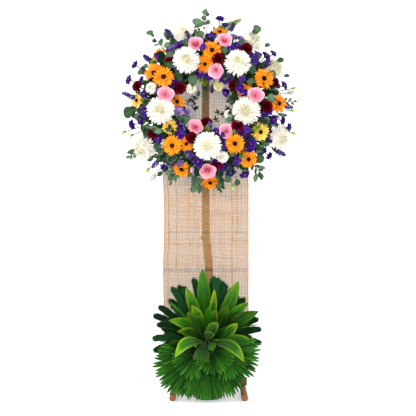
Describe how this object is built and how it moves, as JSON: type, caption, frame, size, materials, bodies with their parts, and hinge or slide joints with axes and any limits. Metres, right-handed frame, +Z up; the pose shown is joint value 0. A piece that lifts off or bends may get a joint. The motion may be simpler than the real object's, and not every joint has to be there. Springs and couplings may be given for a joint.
{
  "type": "funeral wreath with stand",
  "caption": "Ring-shaped wreath of mixed blooms on a branch stand hung with open cloth, with fan and broad leaves in a pot at its foot.",
  "frame": {"origin": "centre of the bounding box's bottom, on the floor under the post", "axes": "+Z up along the post; the flowers and the cloth face along -Y"},
  "size_m": [0.8079, 0.6076, 1.7805],
  "materials": {
    "branch_wood": "rough bark",
    "dark_branch_wood": "dark red-brown bark",
    "open_cloth": "open plain weave, matt",
    "floral_foam": "fine dull foam",
    "green_plastic": "satin",
    "white_petals": "soft matt petals",
    "pink_petals": "velvety petals",
    "orange_petals": "satin petals",
    "dark_red_petals": "velvety petals",
    "purple_petals": "soft matt petals",
    "grey_green_leaf": "waxy matt leaf",
    "bright_leaf": "satin leaf",
    "dark_leaf": "satin leaf",
    "fan_leaf": "satin pleated leaf"
  },
  "bodies": {
    "root": {"foot_left": "branch_wood", "foot_right": "branch_wood", "peg_upper": "branch_wood", "peg_lower": "branch_wood", "cross_log": "branch_wood", "post": "branch_wood", "top_rod": "branch_wood", "bottom_rod": "dark_branch_wood", "cloth_sheet": "open_cloth", "mums_top_left": "white_petals", "mums_top_right": "white_petals", "mums_upper_right": "white_petals", "mums_left": "white_petals", "mums_right": "white_petals", "mums_bottom": "white_petals", "roses_top": "pink_petals", "roses_left": "pink_petals", "roses_right": "pink_petals", "roses_bottom": "pink_petals", "gerberas_left": "orange_petals", "gerberas_top": "orange_petals", "gerberas_right": "orange_petals", "gerberas_bottom_left": "orange_petals", "gerberas_bottom_right": "orange_petals", "carnations_top": "dark_red_petals", "carnations_left": "dark_red_petals", "carnations_right": "dark_red_petals", "carnations_bottom": "dark_red_petals", "lisianthus_top": "purple_petals", "lisianthus_upper_left": "purple_petals", "lisianthus_left": "purple_petals", "lisianthus_bottom": "purple_petals", "lisianthus_lower_right": "purple_petals", "lisianthus_upper_right": "purple_petals", "lisianthus_right": "purple_petals", "greens_top": "grey_green_leaf", "greens_upper_left": "grey_green_leaf", "greens_upper_right": "grey_green_leaf", "greens_left": "grey_green_leaf", "greens_bottom_left": "grey_green_leaf", "greens_bottom_right": "grey_green_leaf", "foam_ring": "floral_foam", "ring_tray": "green_plastic", "leaves_top": "bright_leaf", "leaves_left": "bright_leaf", "leaves_right": "bright_leaf", "leaves_front": "bright_leaf", "paddles_left_back": "dark_leaf", "paddles_left_front": "dark_leaf", "paddles_right_back": "dark_leaf", "paddles_right_front": "dark_leaf", "fan_right": "fan_leaf", "fan_left": "fan_leaf", "fan_bottom": "fan_leaf", "fan_upper_left": "fan_leaf", "fan_middle_left": "fan_leaf", "fan_middle_right": "fan_leaf", "fan_front": "fan_leaf", "pot": "green_plastic", "pot_foam": "floral_foam"}
  },
  "joints": []
}
